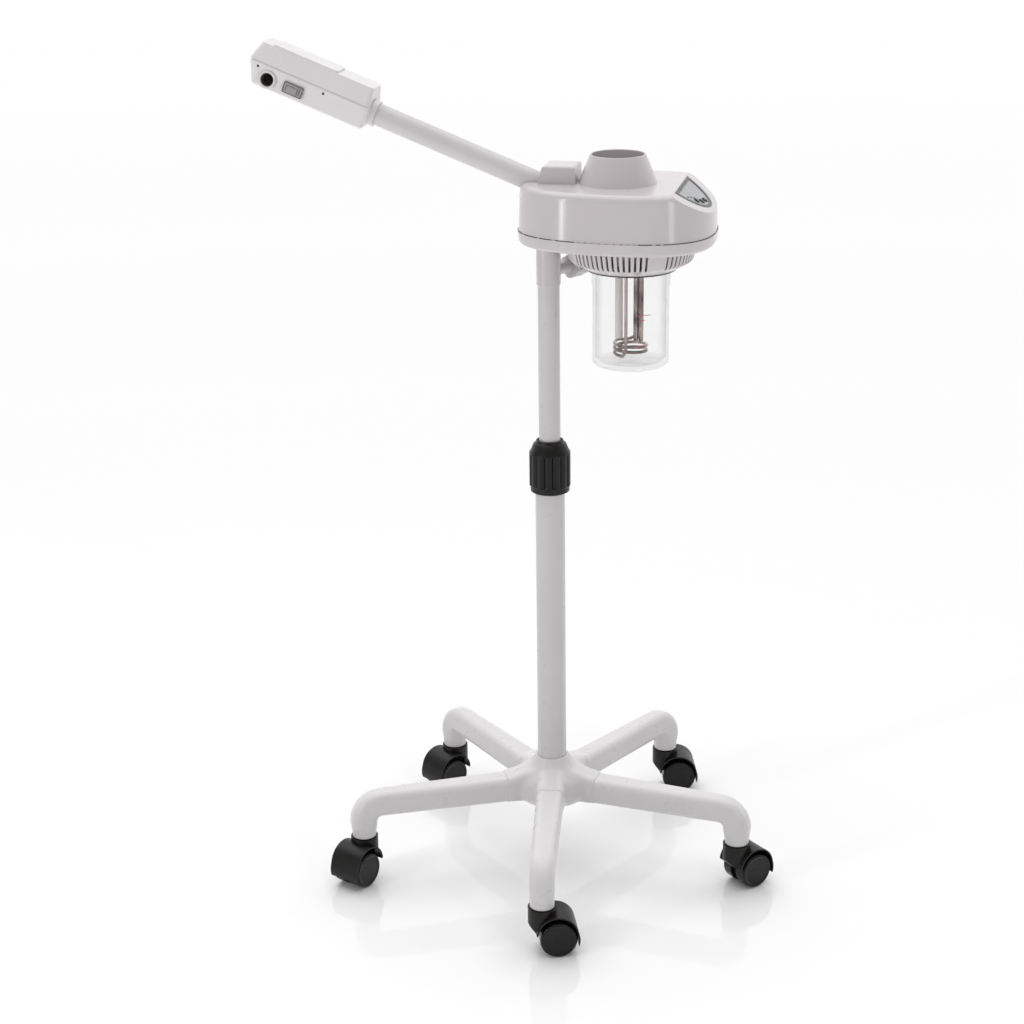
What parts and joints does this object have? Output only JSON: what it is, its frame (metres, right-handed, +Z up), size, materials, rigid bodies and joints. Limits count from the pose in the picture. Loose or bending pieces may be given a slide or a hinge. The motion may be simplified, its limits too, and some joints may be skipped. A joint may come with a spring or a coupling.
{
  "type": "facial steamer",
  "caption": "Facial steamer on a rolling star base: telescopic pole, boiler head with glass water jar, chimney and sloping panel, and a tilting arm with a steam nozzle.",
  "frame": {"origin": "on the floor, under the axis of the pole", "axes": "+Z up along the pole, +X from the pole towards the control panel, -X towards the steam nozzle, -Y to the front"},
  "size_m": [0.6151, 0.4984, 0.9999],
  "materials": {
    "white_shell": "gloss moulded",
    "white_base": "gloss moulded",
    "white_tube": "powder coated, satin gloss",
    "black_castor": "satin moulded",
    "black_wheel": "satin moulded",
    "black_collar": "satin moulded",
    "bush": "plain",
    "steel": "zinc plated",
    "coil_steel": "heat tinted",
    "clear_glass": "clear",
    "seal_rubber": "smooth",
    "probe_plastic": "translucent",
    "hose_rubber": "silicone",
    "panel_dark": "satin",
    "panel_silver": "silver printed film",
    "led_lens": "tinted lens",
    "button_dark": "soft",
    "circuit_board": "lacquered",
    "inlet_black": "plain",
    "outlet_brown": "smooth",
    "tray_grey": "moulded",
    "lamp_glass": "frosted",
    "knob_white": "moulded"
  },
  "bodies": {
    "base": {"base_hub": "white_base", "base_leg_1": "white_base", "base_leg_2": "white_base", "base_leg_3": "white_base", "base_leg_4": "white_base", "base_leg_5": "white_base", "base_fasteners": "steel", "lower_tube": "white_tube", "collar_bush": "bush"},
    "castor_1": {"castor_1_housing": "black_castor", "castor_1_axle": "steel"},
    "castor_1_left": {"castor_1_wheel_left": "black_wheel"},
    "castor_1_right": {"castor_1_wheel_right": "black_wheel"},
    "castor_2": {"castor_2_housing": "black_castor", "castor_2_axle": "steel"},
    "castor_2_left": {"castor_2_wheel_left": "black_wheel"},
    "castor_2_right": {"castor_2_wheel_right": "black_wheel"},
    "castor_3": {"castor_3_housing": "black_castor", "castor_3_axle": "steel"},
    "castor_3_left": {"castor_3_wheel_left": "black_wheel"},
    "castor_3_right": {"castor_3_wheel_right": "black_wheel"},
    "castor_4": {"castor_4_housing": "black_castor", "castor_4_axle": "steel"},
    "castor_4_left": {"castor_4_wheel_left": "black_wheel"},
    "castor_4_right": {"castor_4_wheel_right": "black_wheel"},
    "castor_5": {"castor_5_housing": "black_castor", "castor_5_axle": "steel"},
    "castor_5_left": {"castor_5_wheel_left": "black_wheel"},
    "castor_5_right": {"castor_5_wheel_right": "black_wheel"},
    "collar": {"twist_collar": "black_collar"},
    "mast": {"upper_tube": "white_tube"},
    "head": {"pole_socket": "white_shell", "lower_housing": "white_shell", "upper_housing": "white_shell", "chimney": "white_shell", "housing_screws": "steel", "vent_basket": "white_shell", "panel_frame": "panel_dark", "panel_membrane": "panel_silver", "indicator_leds": "led_lens", "control_board": "circuit_board", "power_inlet": "inlet_black", "heater_flange": "steel", "heater_coil": "coil_steel", "level_probe": "probe_plastic", "steam_hose": "hose_rubber", "jar_gasket": "seal_rubber", "arm_cover": "white_shell"},
    "clamp": {"clamp_knob": "knob_white"},
    "jar": {"glass_jar": "clear_glass"},
    "power_key": {"power_button": "button_dark"},
    "steam_key": {"steam_button": "button_dark"},
    "ozone_key": {"ozone_button": "button_dark"},
    "arm": {"arm_knuckle": "white_shell", "steam_arm": "white_tube"},
    "nozzle": {"nozzle_body": "white_shell", "nozzle_lid": "white_shell", "outlet_ring": "outlet_brown", "ozone_lamp": "lamp_glass"},
    "tray": {"aroma_tray": "tray_grey"}
  },
  "joints": [
    {"name": "castor_1_swivel", "type": "hinge", "parent": "base", "child": "castor_1", "pos_m": [0.03251, -0.23577, 0.0572], "axis": [0, 0, 1], "continuous": true},
    {"name": "castor_1_left_roll", "type": "hinge", "parent": "castor_1", "child": "castor_1_left", "pos_m": [0.04867, -0.23052, 0.0215], "axis": [-0.309, 0.9511, 0], "continuous": true},
    {"name": "castor_1_right_roll", "type": "hinge", "parent": "castor_1", "child": "castor_1_right", "pos_m": [0.04867, -0.23052, 0.0215], "axis": [-0.309, 0.9511, 0], "continuous": true},
    {"name": "castor_2_swivel", "type": "hinge", "parent": "base", "child": "castor_2", "pos_m": [0.23428, -0.04194, 0.0572], "axis": [0, 0, 1], "continuous": true},
    {"name": "castor_2_left_roll", "type": "hinge", "parent": "castor_2", "child": "castor_2_left", "pos_m": [0.2463, -0.02992, 0.0215], "axis": [-0.7071, 0.7071, 0], "continuous": true},
    {"name": "castor_2_right_roll", "type": "hinge", "parent": "castor_2", "child": "castor_2_right", "pos_m": [0.2463, -0.02992, 0.0215], "axis": [-0.7071, 0.7071, 0], "continuous": true},
    {"name": "castor_3_swivel", "type": "hinge", "parent": "base", "child": "castor_3", "pos_m": [0.11228, 0.20985, 0.0572], "axis": [0, 0, 1], "continuous": true},
    {"name": "castor_3_left_roll", "type": "hinge", "parent": "castor_3", "child": "castor_3_left", "pos_m": [0.12878, 0.21396, 0.0215], "axis": [-0.2419, 0.9703, 0], "continuous": true},
    {"name": "castor_3_right_roll", "type": "hinge", "parent": "castor_3", "child": "castor_3_right", "pos_m": [0.12878, 0.21396, 0.0215], "axis": [-0.2419, 0.9703, 0], "continuous": true},
    {"name": "castor_4_swivel", "type": "hinge", "parent": "base", "child": "castor_4", "pos_m": [-0.16488, 0.17164, 0.0572], "axis": [0, 0, 1], "continuous": true},
    {"name": "castor_4_left_roll", "type": "hinge", "parent": "castor_4", "child": "castor_4_left", "pos_m": [-0.17535, 0.15824, 0.0215], "axis": [0.788, -0.6157, 0], "continuous": true},
    {"name": "castor_4_right_roll", "type": "hinge", "parent": "castor_4", "child": "castor_4_right", "pos_m": [-0.17535, 0.15824, 0.0215], "axis": [0.788, -0.6157, 0], "continuous": true},
    {"name": "castor_5_swivel", "type": "hinge", "parent": "base", "child": "castor_5", "pos_m": [-0.21418, -0.10377, 0.0572], "axis": [0, 0, 1], "continuous": true},
    {"name": "castor_5_left_roll", "type": "hinge", "parent": "castor_5", "child": "castor_5_left", "pos_m": [-0.2211, -0.1193, 0.0215], "axis": [0.9135, -0.4067, 0], "continuous": true},
    {"name": "castor_5_right_roll", "type": "hinge", "parent": "castor_5", "child": "castor_5_right", "pos_m": [-0.2211, -0.1193, 0.0215], "axis": [0.9135, -0.4067, 0], "continuous": true},
    {"name": "collar_twist", "type": "hinge", "parent": "base", "child": "collar", "pos_m": [0, 0, 0.4782], "axis": [0, 0, 1], "range_deg": [0, 120]},
    {"name": "mast_slide", "type": "slide", "parent": "base", "child": "mast", "axis": [0, 0, 1], "range_m": [-0.12, 0.12]},
    {"name": "head_swivel", "type": "hinge", "parent": "mast", "child": "head", "pos_m": [0, 0, 0.78], "axis": [0, 0, 1], "continuous": true},
    {"name": "clamp_turn", "type": "hinge", "parent": "head", "child": "clamp", "pos_m": [0.02, 0.03464, 0.742], "axis": [0.5, 0.866, 0], "range_deg": [0, 180]},
    {"name": "jar_release", "type": "slide", "parent": "head", "child": "jar", "axis": [0, 0, -1], "range_m": [0, 0.12]},
    {"name": "power_press", "type": "slide", "parent": "head", "child": "power_key", "axis": [-0.5592, 0, -0.829], "range_m": [0, 0.0008], "stiffness_N_per_m": 400},
    {"name": "steam_press", "type": "slide", "parent": "head", "child": "steam_key", "axis": [-0.5592, 0, -0.829], "range_m": [0, 0.0008], "stiffness_N_per_m": 400},
    {"name": "ozone_press", "type": "slide", "parent": "head", "child": "ozone_key", "axis": [-0.5592, 0, -0.829], "range_m": [0, 0.0008], "stiffness_N_per_m": 400},
    {"name": "arm_tilt", "type": "hinge", "parent": "head", "child": "arm", "pos_m": [0.018, 0, 0.8322], "axis": [0, 1, 0], "range_deg": [-10, 10]},
    {"name": "nozzle_roll", "type": "hinge", "parent": "arm", "child": "nozzle", "pos_m": [-0.20298, 0, 0.92059], "axis": [-0.9285, 0, 0.3714], "range_deg": [-150, 150]},
    {"name": "tray_pull", "type": "slide", "parent": "nozzle", "child": "tray", "axis": [0, -1, 0], "range_m": [0, 0.016]}
  ]
}
